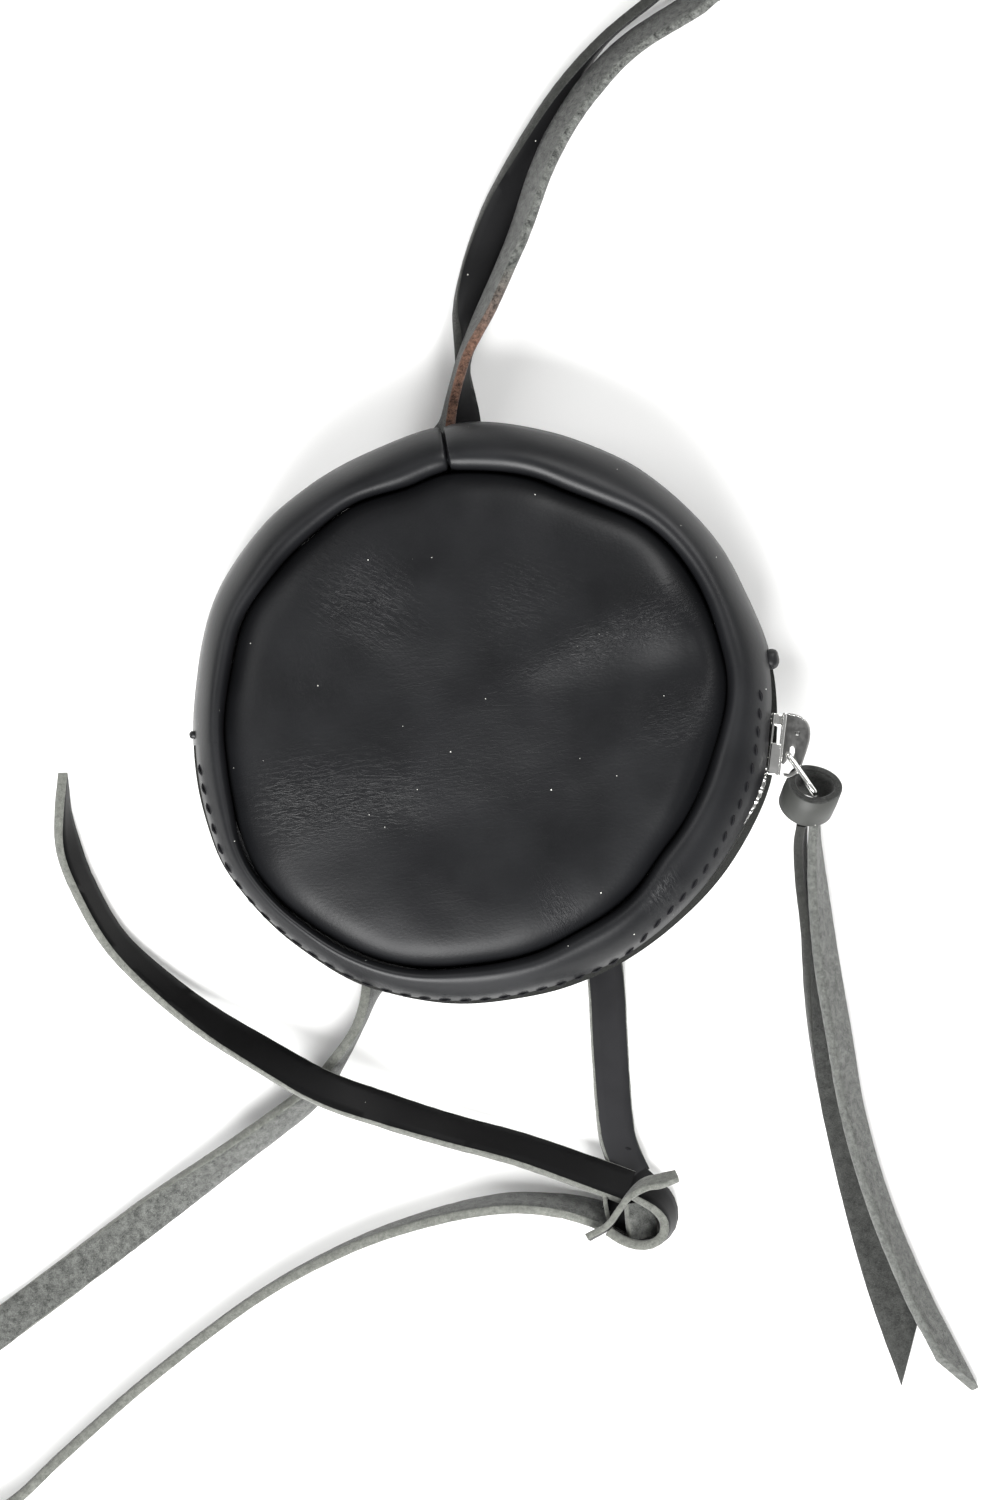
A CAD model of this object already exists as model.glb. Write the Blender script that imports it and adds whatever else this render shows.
"""A round leather coin purse that lies on its back, with its zip, pull, straps and thongs.

Every length in this file is in millimetres unless its name ends in _m. The frame's axes hold
throughout: +Z out of the front panel, +Y towards the neck strap, origin under the back panel.
"""

import math

import bmesh
import bpy
import numpy as np
from mathutils import Matrix, Vector, noise


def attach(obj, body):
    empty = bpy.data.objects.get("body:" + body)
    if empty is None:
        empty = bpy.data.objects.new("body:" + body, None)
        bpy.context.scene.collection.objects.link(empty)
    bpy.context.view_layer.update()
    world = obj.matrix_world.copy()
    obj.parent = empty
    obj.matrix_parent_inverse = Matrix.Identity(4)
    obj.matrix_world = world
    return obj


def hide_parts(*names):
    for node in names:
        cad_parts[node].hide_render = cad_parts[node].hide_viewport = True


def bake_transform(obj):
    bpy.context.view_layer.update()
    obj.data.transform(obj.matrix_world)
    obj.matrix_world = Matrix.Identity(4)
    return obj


bl_info = {
    "name": "Coin Purse",
    "version": (1, 0, 0),
    "blender": (4, 5, 0),
    "location": "3D View > Sidebar > Purse",
    "description": "Builds a round leather coin purse with its zip, straps and thongs",
    "category": "Add Mesh",
}

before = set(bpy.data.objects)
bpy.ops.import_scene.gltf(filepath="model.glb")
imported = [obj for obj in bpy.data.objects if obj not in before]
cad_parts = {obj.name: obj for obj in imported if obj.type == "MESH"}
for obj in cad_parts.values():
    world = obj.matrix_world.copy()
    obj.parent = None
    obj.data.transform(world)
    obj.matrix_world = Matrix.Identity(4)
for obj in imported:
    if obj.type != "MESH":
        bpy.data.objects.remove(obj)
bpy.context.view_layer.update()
MM = 0.001

# ---------------------------------------------------------------- lie of the leather

MID = 16.0  # height of the zip's middle line
SEAM_ANGLE = 98.6  # where the two ends of the wall's strip meet
ZIP_FROM, ZIP_TO = -173.3, 10.0  # the zip's two ends, degrees
BACK_REACH = 61.0  # radius that the even, inner part of the wall's back keeps to
BACK_LIMIT = 50.7  # radius of the back panel
ZIP_RADIUS = 59.0  # of the row of teeth, for their spacing
STITCH_RADIUS = 58.0  # of the rows of stitches, for their spacing
BACK_STITCH_INSET = 3.0  # from the edge of the back lip to its stitches

# Radius of the groove round the front panel, and of the whole bag, by angle.
GROOVE = [
    (-10, 47.8), (7, 50.1), (18, 50.3), (30, 50.7), (40, 50.9), (50, 50.4), (61, 48.7), (70, 48.2),
    (79, 48.9), (90, 49.3), (100, 49.7), (110, 48.8), (123, 50.5), (135, 50.9), (148, 52.2), (158, 53.4),
    (171, 53.3), (184, 54.3), (191, 54.6), (200, 55.6), (207, 56.9), (214, 58.0), (223, 58.0), (231, 57.3),
    (246, 56.3), (254, 55.2), (267, 52.7), (282, 50.9), (292, 49.4), (302, 48.7), (310, 47.9), (320, 46.6),
    (331, 46.8), (341, 47.2),
]
REACH = [
    (-6, 60.4), (11, 59.6), (25, 58.9), (37, 59.0), (49, 58.9), (59, 59.1), (70, 58.9), (79, 59.0),
    (91, 59.6), (100, 59.5), (114, 58.6), (128, 59.1), (140, 60.0), (153, 60.4), (166, 60.3), (178, 60.1),
    (192, 61.2), (202, 62.1), (210, 62.8), (218, 62.7), (226, 62.3), (234, 62.0), (246, 62.0), (254, 61.4),
    (266, 60.4), (279, 59.5), (289, 59.1), (298, 59.0), (306, 58.9), (315, 58.9), (325, 59.3), (336, 59.9),
    (346, 60.5),
]
# How far the front lip's edge and its stitches stand in from that reach.
LIP_INSET = [
    (-60, 1.2), (-40, 1.8), (-24, 2.4), (-14, 2.0), (-4, 1.9), (4, 1.2), (12, 0.7), (90, 0.6), (180, 0.4),
    (215, 0.5), (260, 0.8),
]
STITCH_INSET = [
    (-75, 1.0), (-60, 1.4), (-51, 2.9), (-38, 3.6), (-22, 4.6), (-5, 4.4), (10, 3.0), (90, 2.0),
    (180, 0.9), (200, 1.4), (215, 0.7), (240, 0.7),
]
# The wall's outer face from the front groove to the back one: share of the way from the groove to
# the lip (front) or radius from the reach (back), and height from the zip's middle line.
WALL_FRONT = [
    (-0.04, 5.8), (0.0, 9.4), (0.06, 11.4), (0.2, 12.5), (0.4, 12.3), (0.64, 10.7), (0.86, 8.2), (1.0, 5.2),
]
WALL_BACK = [
    (0.0, -5.2), (-1.2, -8.2), (-3.4, -11.2), (-6.1, -13.1), (-7.8, -13.3), (-9.0, -12.3), (-9.7, -9.6),
]
# The zip: tape out from the teeth and up, where the teeth bulge out of the mouth, and its end lumps.
TEETH_INSET = 1.1
TAPE_INSET = 1.2
TAPE_THICKNESS = 0.6
TAPE_PROFILE = [(-4.0, 9.0), (-2.2, 6.8), (-0.9, 4.0), (-0.4, 1.6)]
TEETH_BULGE = {"angle": -17.0, "spread": 8.0, "out": 1.25}
END_TABS = [("right", 10.4, (4.2, 4.6, 8.6)), ("left", 184.6, (2.6, 1.9, 8.0))]
TAB_SINK = 0.3
FRONT_PANEL = [(0, 15.8), (20, 15.6), (36, 15.1), (44, 14.2), (48, 12.6), (50, 10.0), (50.6, 7.6)]
BACK_PANEL = [(0, -16), (44, -16), (47.6, -15.1), (49.9, -12.6), (50.7, -9.4)]
# Hollows and ridges of the front panel: x, y, half length, half width, direction, height.
DENTS = [
    (33, 6, 15, 8, 22, -2.6), (28, 19, 26, 6, 27, 1.5), (41, -12, 16, 5, 76, 1.2),
    (10, -20, 26, 15, 24, -1.9), (-32, -17, 20, 8, 4, 0.5), (-26, 24, 20, 13, -34, 0.9),
    (2, 8, 22, 9, 28, -0.5), (-14, -34, 24, 7, -14, 0.4), (-38, 3, 7, 16, 8, 0.5), (-22, 4, 9, 13, 0, -0.6),
]

# ---------------------------------------------------------------- routes of the straps
# Stations: x, y, z and roll in degrees; roll 0 lies grain side up, 90 stands on edge with the
# grain side to the right, 180 lies grain side down.

NECK_SMOOTH = [
    (-4.3, 49.6, 1.2, 0), (-4.4, 55, 1.6, 10), (-4.9, 61, 3.0, 35), (-5.0, 66, 3.8, 62),
    (-4.9, 71.5, 3.9, 80), (-4.3, 77, 3.8, 60), (-3.4, 82.5, 2.6, 28), (-1.4, 91.5, 2.0, 12),
    (2.6, 103, 2.6, 24), (8.2, 114.6, 3.4, 46), (15.4, 127.4, 4.1, 68), (23.8, 138.5, 4.0, 87),
    (33.3, 146.5, 4.1, 88), (38.9, 150.6, 4.2, 86),
]
NECK_ROUGH = [
    (-11.4, 47.2, 1.2, 180), (-10.8, 51.0, 1.3, 176), (-9.4, 54.6, 3.2, 142), (-8.3, 58.0, 6.0, 106),
    (-7.0, 64.6, 8.6, 97), (-4.8, 72.6, 10.6, 98), (-2.6, 77.6, 10.6, 102), (-0.2, 82.6, 9.6, 108),
    (3.9, 91.8, 8.0, 110), (7.2, 99.8, 7.0, 113), (11.2, 111.5, 6.6, 117), (15.6, 120.6, 6.4, 121),
    (21.0, 128.6, 5.8, 124), (29.9, 137.8, 4.8, 121), (43.4, 146.4, 4.2, 124), (47.6, 149.4, 4.2, 122),
]
BODY_UPPER = [
    (-21.4, -45.6, 1.2, 180), (-22.6, -52.0, 2.6, 156), (-23.9, -57.8, 4.5, 108), (-26.4, -64.8, 4.0, 94),
    (-30.2, -71.4, 3.9, 101), (-35.8, -79.0, 3.8, 118), (-43.5, -85.2, 3.7, 125), (-54.6, -93.3, 3.5, 133),
    (-69.9, -104.4, 2.4, 158), (-88.0, -118.1, 1.2, 180), (-100.2, -127.2, 1.5, 175),
]
BODY_LOWER = [
    (-134, -165.3, 3.9, 91), (-121, -169.4, 3.9, 92), (-108.6, -168.9, 3.9, 92), (-98.0, -163.5, 3.9, 91),
    (-87.4, -153.7, 3.9, 91), (-69.7, -138.1, 3.9, 91), (-47.4, -121.2, 3.9, 91), (-28.2, -110.7, 3.9, 94),
    (-11.3, -104.7, 3.95, 101), (3.0, -101.8, 3.95, 109), (13.4, -102.0, 3.9, 115), (20.0, -103.1, 3.8, 124),
    (25.2, -104.8, 3.6, 130),
]
TAIL = [
    (29.6, -98.5, 5.6, 28), (22.4, -95.9, 5.6, 30), (7.1, -90.6, 4.6, 35), (-8.0, -86.5, 4.6, 34),
    (-21.1, -82.3, 8.4, 26), (-33.8, -77.7, 10.4, 20), (-46.7, -70.6, 8.4, 28), (-59.3, -62.9, 4.6, 40),
    (-71.4, -53.1, 4.0, 51), (-78.1, -45.7, 4.0, 57), (-83.6, -35.7, 4.1, 58), (-86.3, -28.4, 4.1, 59),
    (-87.5, -20.7, 4.1, 78), (-87.4, -14.2, 4.1, 88),
]
EYE_STRAP = [
    (23.4, -45.4, 1.2, 0), (24.2, -51, 1.25, -1), (24.9, -58, 1.6, -8), (25.5, -69.8, 1.6, -8),
    (26.5, -84.2, 2.0, -14), (27.8, -90.6, 2.2, -17), (30.4, -96.2, 2.6, -22),
]
EYE_LOOP = [
    (29.6, -96.4, 2.6, -24), (32.9, -98.8, 4.4, -40), (35.9, -101.1, 4.7, -52), (37.6, -104.1, 4.2, -68),
    (37.3, -107.4, 3.9, -82), (35.0, -109.7, 3.8, -89), (31.6, -110.3, 3.8, -90), (28.0, -109.2, 3.8, -90),
    (25.2, -107.4, 3.8, -90),
]
KNOT_SLIVER = [
    (20.9, -108.6, 9.4, 80), (25.0, -106.2, 9.8, 84), (27.3, -103.0, 10.2, 88), (29.3, -100.2, 10.4, 92),
    (32.6, -97.7, 10.3, 112), (35.9, -96.9, 10.0, 124), (39.4, -95.9, 9.6, 128),
]
KNOT_UNDER = [(24.6, -101.6, 2.6, 0), (27.0, -103.2, 2.4, 0), (30.5, -105.0, 2.2, 0)]
KNOT_INNER = [(31.6, -101.4, 4.2, -30), (31.9, -105.2, 3.9, -31), (32.3, -108.9, 3.6, -32)]
KNOT_FLAP = [(24.3, -99.4, 5.6, 90), (24.8, -103.0, 5.6, 90), (25.6, -106.6, 5.4, 90)]
THONG_SHORT = [
    (65.2, -21.5, 11.2, 92), (64.8, -26.5, 7.6, 98), (65.3, -34, 5.4, 103), (67.1, -45, 4.4, 113),
    (68.6, -57, 3.7, 132), (70.9, -70, 2.2, 163), (73.5, -84, 1.2, 180), (77.7, -102, 1.2, 180),
    (82.5, -119, 1.2, 180), (87.5, -133.1, 1.2, 180),
]
THONG_LONG = [
    (67.7, -21.5, 11.2, 92), (67.7, -27.5, 8.4, 99), (68.6, -38, 6.4, 112), (70.3, -52, 5.8, 122),
    (72.8, -66.7, 5.5, 123), (75.9, -84, 5.0, 121), (81.4, -102.5, 4.5, 120), (88.6, -119.8, 4.0, 122),
    (93.8, -130.1, 3.9, 121), (97.3, -136.9, 3.9, 121),
]
COIL_BEND = 15.0  # radius of the two half circles in the middle of a coil
COIL_PITCH = 5.6  # the two strands together
COIL_HEIGHT = 3.85  # height of a standing strap's middle
COIL_STEPS = 24  # stations in a turn

# ---------------------------------------------------------------- sizes and colours to change


class PurseSizes(bpy.types.PropertyGroup):
    """Sizes of the purse's pieces, in millimetres."""

    leather: bpy.props.FloatProperty(
        name="Leather", description="Thickness of the bag's leather", default=1.6)
    strap_width: bpy.props.FloatProperty(
        name="Strap Width", description="Width of the cut straps", default=7.5)
    strap_thickness: bpy.props.FloatProperty(
        name="Strap Thickness", description="Thickness of the straps", default=2.0)
    stitch_pitch: bpy.props.FloatProperty(
        name="Stitch Pitch", description="From one stitch to the next", default=3.95)
    thread: bpy.props.FloatProperty(name="Thread", description="Thickness of the thread", default=0.52)
    tooth_pitch: bpy.props.FloatProperty(
        name="Tooth Pitch", description="From one tooth to the next", default=2.4)
    link_wire: bpy.props.FloatProperty(
        name="Link Wire", description="Thickness of the link's wire", default=1.2)


def colour(label, words, value):
    """A colour that the panel can change."""
    return bpy.props.FloatVectorProperty(
        name=label, description=words, subtype="COLOR", size=3, min=0, max=1, default=value)


class PurseColours(bpy.types.PropertyGroup):
    """Colours of the purse's leather, thread and metal."""

    grain: colour("Grain Side", "Smooth outside of the leather", (0.0062, 0.0065, 0.0075))
    strap: colour("Strap", "Smooth side of the straps", (0.0048, 0.0048, 0.0052))
    flesh: colour("Flesh Side", "Napped inside of the leather", (0.084, 0.087, 0.081))
    edge: colour("Cut Edge", "Raw cut edge of the leather", (0.122, 0.126, 0.113))
    tan: colour("Undyed Edge", "Cut edge that the dye has missed", (0.105, 0.056, 0.038))
    thread: colour("Thread", "Waxed stitching thread", (0.006, 0.006, 0.007))
    metal: colour("Metal", "Polished slider, teeth and link", (0.82, 0.82, 0.8))
    tape: colour("Tape", "Woven zip tape", (0.012, 0.012, 0.013))
    floor: colour("Floor", "Plain floor under the purse", (0.94, 0.94, 0.93))


def sizes():
    """The purse's sizes as the panel has them."""
    return bpy.context.scene.purse_sizes


def colours():
    """The purse's colours as the panel has them."""
    return bpy.context.scene.purse_colours


# ---------------------------------------------------------------- shader building


def rgba(value, share=1.0):
    """A colour made darker or lighter by a share, with full alpha."""
    return (value[0] * share, value[1] * share, value[2] * share, 1.0)


def add_node(tree, kind, links=None, **settings):
    """A node with its settings, and its inputs linked or set."""
    made = tree.nodes.new(kind)
    for key, value in settings.items():
        setattr(made, key, value)
    for socket, value in (links or {}).items():
        target = made.inputs[socket]
        if isinstance(value, bpy.types.NodeSocket):
            tree.links.new(value, target)
        else:
            target.default_value = value
    return made


def maths(tree, operation, *values):
    """The result of one sum in a shader."""
    return add_node(tree, "ShaderNodeMath", dict(enumerate(values)), operation=operation).outputs[0]


def noise_at(tree, at, scale, detail, **more):
    """Value of a noise texture at a place."""
    links = {"Vector": at, "Scale": scale, "Detail": detail, **more}
    return add_node(tree, "ShaderNodeTexNoise", links).outputs[0]


def scaled_place(tree, scale):
    """Where on the object a point is, multiplied."""
    links = {0: place(tree), "Scale": scale}
    return add_node(tree, "ShaderNodeVectorMath", links, operation="SCALE").outputs[0]


def ramp(tree, value, low, high, to_low=0.0, to_high=1.0):
    """A shader value passed from one range to another."""
    links = {"Value": value, "From Min": low, "From Max": high, "To Min": to_low, "To Max": to_high}
    return add_node(tree, "ShaderNodeMapRange", links).outputs[0]


def mix(tree, share, first, second):
    """A colour between two others."""
    links = {"Factor": share, 6: first, 7: second}
    return add_node(tree, "ShaderNodeMix", links, data_type="RGBA").outputs[2]


def place(tree):
    """Where on the object a point is, in metres."""
    return add_node(tree, "ShaderNodeTexCoord").outputs["Object"]


def start_group(name, inputs, outputs):
    """A new shader node group and its two end nodes; inputs are (label, default)."""
    tree = bpy.data.node_groups.new(name, "ShaderNodeTree")
    for label, default in inputs:
        socket = tree.interface.new_socket(label, in_out="INPUT", socket_type="NodeSocketFloat")
        socket.default_value = default
    for label in outputs:
        tree.interface.new_socket(label, in_out="OUTPUT", socket_type="NodeSocketFloat")
    return tree, tree.nodes.new("NodeGroupInput").outputs, tree.nodes.new("NodeGroupOutput").inputs


def grain_group():
    """Pores and pebbles of smooth leather."""
    tree, given, out = start_group("leather_grain", [("Scale", 1.0), ("Strength", 1.0)], ["Height", "Shade"])
    at = scaled_place(tree, given["Scale"])
    links = {"Vector": at, "Scale": 1500.0}
    pebbles = add_node(tree, "ShaderNodeTexVoronoi", links, feature="SMOOTH_F1").outputs[0]
    fine = noise_at(tree, at, 2600.0, 3.0)
    broad = noise_at(tree, at, 60.0, 4.0)
    height = maths(tree, "ADD", maths(tree, "MULTIPLY", pebbles, 0.8), maths(tree, "MULTIPLY", fine, 0.5))
    tree.links.new(maths(tree, "MULTIPLY", height, given["Strength"]), out["Height"])
    tree.links.new(ramp(tree, broad, 0.3, 0.7), out["Shade"])
    return tree


def crease_group():
    """Creases that run along one direction inside a soft-edged patch."""
    tree, given, out = start_group(
        "leather_creases",
        [("X", 0.0), ("Y", 0.0), ("Length", 10.0), ("Width", 6.0), ("Turn", 0.0), ("Spacing", 1.0),
         ("Strength", 1.0)],
        ["Height"])
    at = add_node(tree, "ShaderNodeSeparateXYZ", {0: place(tree)}).outputs
    dx = maths(tree, "SUBTRACT", maths(tree, "DIVIDE", at[0], MM), given["X"])
    dy = maths(tree, "SUBTRACT", maths(tree, "DIVIDE", at[1], MM), given["Y"])
    turn = maths(tree, "RADIANS", given["Turn"])
    c, s = maths(tree, "COSINE", turn), maths(tree, "SINE", turn)
    along = maths(tree, "ADD", maths(tree, "MULTIPLY", dx, c), maths(tree, "MULTIPLY", dy, s))
    across = maths(tree, "SUBTRACT", maths(tree, "MULTIPLY", dy, c), maths(tree, "MULTIPLY", dx, s))
    u, v = maths(tree, "DIVIDE", along, given["Length"]), maths(tree, "DIVIDE", across, given["Width"])
    far = maths(tree, "ADD", maths(tree, "MULTIPLY", u, u), maths(tree, "MULTIPLY", v, v))
    inside = maths(tree, "EXPONENT", maths(tree, "MULTIPLY", far, -1.3))
    fine = add_node(tree, "ShaderNodeCombineXYZ", {
        0: maths(tree, "DIVIDE", maths(tree, "DIVIDE", along, 3.6), given["Spacing"]),
        1: maths(tree, "DIVIDE", across, given["Spacing"])}).outputs[0]
    lines = noise_at(tree, fine, 1.1, 3.5, Roughness=0.55, Distortion=0.9)
    ridges = maths(tree, "ABSOLUTE", maths(tree, "SUBTRACT", lines, 0.5))
    cut = ramp(tree, ridges, 0.0, 0.12, -0.28, 0.06)
    height = maths(tree, "MULTIPLY", cut, maths(tree, "MULTIPLY", inside, given["Strength"]))
    tree.links.new(height, out["Height"])
    return tree


def dust_group():
    """Scattered pale specks of lint."""
    tree, given, out = start_group("dust", [("Spacing", 3.4), ("Size", 0.05)], ["Mask"])
    at = scaled_place(tree, maths(tree, "DIVIDE", 1.0 / MM, given["Spacing"]))
    cells = add_node(tree, "ShaderNodeTexVoronoi", {"Vector": at, "Scale": 1.0, "Randomness": 1.0})
    luck = add_node(tree, "ShaderNodeSeparateXYZ", {0: cells.outputs["Color"]}).outputs[0]
    size = maths(tree, "MULTIPLY", given["Size"], maths(tree, "POWER", luck, 2.0))
    near = maths(tree, "LESS_THAN", cells.outputs["Distance"], size)
    tree.links.new(maths(tree, "MULTIPLY", near, maths(tree, "GREATER_THAN", luck, 0.45)), out["Mask"])
    return tree


def nap_group():
    """Short matted fibres of the flesh side or a cut edge."""
    tree, given, out = start_group("leather_nap", [("Scale", 1.0)], ["Shade", "Height"])
    at = scaled_place(tree, given["Scale"])
    fibres = noise_at(tree, at, 2100.0, 4.0, Roughness=0.75, Distortion=1.4)
    clumps = noise_at(tree, at, 700.0, 2.0)
    both = maths(tree, "ADD", maths(tree, "MULTIPLY", fibres, 0.65), maths(tree, "MULTIPLY", clumps, 0.35))
    tree.links.new(ramp(tree, both, 0.4, 0.62), out["Shade"])
    tree.links.new(fibres, out["Height"])
    return tree


GROUPS = {}


def effect(tree, name, values=None):
    """Places one of the shared effects in a material with its own values."""
    makers = {"grain": grain_group, "creases": crease_group, "dust": dust_group, "nap": nap_group}
    if name not in GROUPS:
        GROUPS[name] = makers[name]()
    return add_node(tree, "ShaderNodeGroup", values, node_tree=GROUPS[name]).outputs


def start_material(name):
    """A new material with its node tree and the inputs of its shader."""
    made = bpy.data.materials.new(name)
    made.use_nodes = True
    tree = made.node_tree
    return made, tree, tree.nodes["Principled BSDF"].inputs


def bump(tree, height, strength, distance):
    """A surface direction disturbed by a height; distance is in millimetres."""
    links = {"Height": height, "Strength": strength, "Distance": distance * MM}
    return add_node(tree, "ShaderNodeBump", links).outputs[0]


LINT = (0.6, 0.6, 0.56, 1.0)


def smooth_leather(name, tone, roughness, creases=(), grain=1.0, gloss=0.26):
    """Grain side of the leather: soft gloss, fine pores, creases and a little lint."""
    made, tree, shader = start_material(name)
    pores = effect(tree, "grain", {"Strength": grain})
    base = mix(tree, pores["Shade"], rgba(tone, 0.82), rgba(tone, 1.25))
    rough = ramp(tree, pores["Shade"], 0.0, 1.0, roughness - 0.05, roughness + 0.06)
    height = maths(tree, "MULTIPLY", pores["Height"], 0.1)
    for crease in creases:
        values = dict(zip(("X", "Y", "Length", "Width", "Turn", "Spacing", "Strength"), crease))
        height = maths(tree, "ADD", height, effect(tree, "creases", values)["Height"])
    base = mix(tree, effect(tree, "dust")["Mask"], base, LINT)
    tree.links.new(base, shader["Base Color"])
    tree.links.new(rough, shader["Roughness"])
    tree.links.new(bump(tree, height, 0.8, 0.22), shader["Normal"])
    shader["Specular IOR Level"].default_value = gloss
    return made


def napped_leather(name, tone, contrast=0.62, scale=1.0, depth=0.35, start=None):
    """Flesh side or raw edge: matt, fibrous and mottled. start gives another tone and the two
    places up the Y axis, in millimetres, between which it passes into the main one."""
    made, tree, shader = start_material(name)
    nap = effect(tree, "nap", {"Scale": scale})
    base = mix(tree, nap["Shade"], rgba(tone, 1.0 - contrast), rgba(tone, 1.0 + contrast))
    if start:
        first, low, high = start
        up = add_node(tree, "ShaderNodeSeparateXYZ", {"Vector": place(tree)}).outputs["Y"]
        first = mix(tree, nap["Shade"], rgba(first, 1.0 - contrast), rgba(first, 1.0 + contrast))
        base = mix(tree, ramp(tree, up, low * MM, high * MM), first, base)
    tree.links.new(base, shader["Base Color"])
    tree.links.new(bump(tree, nap["Height"], 0.9, depth), shader["Normal"])
    shader["Roughness"].default_value = 0.95
    shader["Specular IOR Level"].default_value = 0.15
    shader["Sheen Weight"].default_value = 0.25
    return made


def polished_metal(name, tone, roughness=0.14):
    """Plated zip metal with light handling marks."""
    made, tree, shader = start_material(name)
    scuffs = noise_at(tree, place(tree), 900.0, 4.0)
    tree.links.new(ramp(tree, scuffs, 0.35, 0.7, roughness - 0.04, roughness + 0.1), shader["Roughness"])
    worn = ramp(tree, scuffs, 0.4, 0.8)
    tree.links.new(mix(tree, worn, rgba(tone), rgba(tone, 0.86)), shader["Base Color"])
    tree.links.new(bump(tree, scuffs, 0.15, 0.05), shader["Normal"])
    shader["Metallic"].default_value = 1.0
    return made


def ribbed(name, tone, ribs, shares, relief, levels):
    """Woven tape or twisted thread. ribs are the scale and distortion, shares the darkest and
    lightest part of the tone, relief the strength and depth, levels other inputs of the shader."""
    made, tree, shader = start_material(name)
    links = {"Vector": place(tree), "Scale": ribs[0], "Distortion": ribs[1], "Detail": 1.0}
    wave = add_node(tree, "ShaderNodeTexWave", links, bands_direction="DIAGONAL").outputs["Fac"]
    tree.links.new(mix(tree, wave, rgba(tone, shares[0]), rgba(tone, shares[1])), shader["Base Color"])
    tree.links.new(bump(tree, wave, *relief), shader["Normal"])
    for socket, value in levels.items():
        shader[socket].default_value = value
    return made


# Creases of the front: x, y, length, width, direction, spacing, depth.
PANEL_CREASES = [
    (-27, 25, 15, 10, -32, 0.9, 0.9), (-36, 7, 9, 10, 98, 0.7, 0.6), (-30, -17, 25, 10, 6, 1.0, 1.0),
    (30, 18, 24, 6, 24, 0.8, 1.0), (40, -1, 13, 7, 12, 0.8, 0.9), (16, -43, 10, 4, -62, 0.7, 0.8),
    (8, 22, 16, 14, -20, 0.8, 0.35), (-5, -4, 52, 46, 8, 1.3, 0.22),
]
RIM_CREASES = [(37, -38, 7, 5, -62, 0.9, 0.9), (-60, 20, 3, 20, 0, 1.2, 0.3)]
WOVEN = {"Roughness": 0.9, "Sheen Weight": 0.2}
WAXED = {"Roughness": 0.7, "Specular IOR Level": 0.15}
MATERIALS = {}


def shaded(tone, share):
    """A tone made darker or lighter by a share."""
    return [part * share for part in tone]


def material(name):
    """The finish of that name, made when it is first asked for."""
    tones = colours()
    makers = {
        "panel": lambda n: smooth_leather(n, shaded(tones.grain, 0.8), 0.43, PANEL_CREASES, gloss=0.2),
        "rim": lambda n: smooth_leather(n, tones.grain, 0.42, RIM_CREASES, grain=0.7),
        "inside": lambda n: napped_leather(n, tones.flesh, 0.3),
        "strap_grain": lambda n: smooth_leather(n, tones.strap, 0.5, grain=0.6, gloss=0.13),
        "worn_grain": lambda n: smooth_leather(n, shaded(tones.strap, 3.2), 0.5, grain=0.6, gloss=0.13),
        "tail_grain": lambda n: smooth_leather(n, shaded(tones.strap, 0.4), 0.5, grain=0.6, gloss=0.09),
        "hitch_grain": lambda n: smooth_leather(n, shaded(tones.flesh, 0.41), 0.5, grain=0.6),
        "strap_flesh": lambda n: napped_leather(n, tones.flesh),
        "strap_edge": lambda n: napped_leather(n, tones.edge, 0.35, 1.4, 0.2),
        "dyed_edge": lambda n: napped_leather(n, shaded(tones.edge, 0.1), 0.3, 1.4, 0.2),
        "dark_flesh": lambda n: napped_leather(n, shaded(tones.flesh, 0.42), 0.5),
        "hitch_edge": lambda n: napped_leather(n, shaded(tones.flesh, 0.25), 0.5, 1.4, 0.2),
        "grey_edge": lambda n: napped_leather(n, shaded(tones.flesh, 1.1), 0.45, 1.4, 0.2),
        "dark_edge": lambda n: napped_leather(n, shaded(tones.edge, 0.17), 0.4, 1.4, 0.2),
        "tan_edge": lambda n: napped_leather(
            n, shaded(tones.flesh, 1.1), 0.85, 1.2, 0.2, (tones.tan, 76, 92)),
        "neck_flesh": lambda n: napped_leather(
            n, shaded(tones.flesh, 1.15), start=(shaded(tones.flesh, 0.28), 56, 88)),
        "thong_flesh": lambda n: napped_leather(n, shaded(tones.flesh, 1.2)),
        "metal": lambda n: polished_metal(n, tones.metal),
        "gunmetal": lambda n: polished_metal(n, shaded(tones.metal, 0.2), 0.34),
        "tape": lambda n: ribbed(n, tones.tape, (700.0, 0.6), (0.7, 1.7), (0.8, 0.15), WOVEN),
        "thread": lambda n: ribbed(n, tones.thread, (1300.0, 1.0), (0.6, 1.8), (0.7, 0.08), WAXED),
    }
    if name not in MATERIALS:
        MATERIALS[name] = makers[name]("purse_" + name)
    return MATERIALS[name]


# ---------------------------------------------------------------- mesh building


def add_object(name, data):
    """A new object in the scene."""
    made = bpy.data.objects.new(name, data)
    bpy.context.scene.collection.objects.link(made)
    return made


def turned(x, y, degrees):
    """A point turned about the origin."""
    c, s = math.cos(math.radians(degrees)), math.sin(math.radians(degrees))
    return x * c - y * s, x * s + y * c


def unit_rows(rows):
    """Rows scaled to length one."""
    return rows / np.linalg.norm(rows, axis=1)[:, None]


def right_of(line):
    """Direction to the right of a flat line at each of its points."""
    d = unit_rows(np.gradient(line, axis=0))
    return np.stack([d[:, 1], -d[:, 0]], axis=1)


def distances(line):
    """Length from the start of a line to each of its points."""
    return np.concatenate([[0], np.cumsum(np.linalg.norm(np.diff(line, axis=0), axis=1))])


def resampled(line, along, count):
    """A line's columns at count places, evenly spaced along it."""
    at = np.linspace(0, along[-1], count)
    return np.stack([np.interp(at, along, column) for column in line.T], axis=1)


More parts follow.
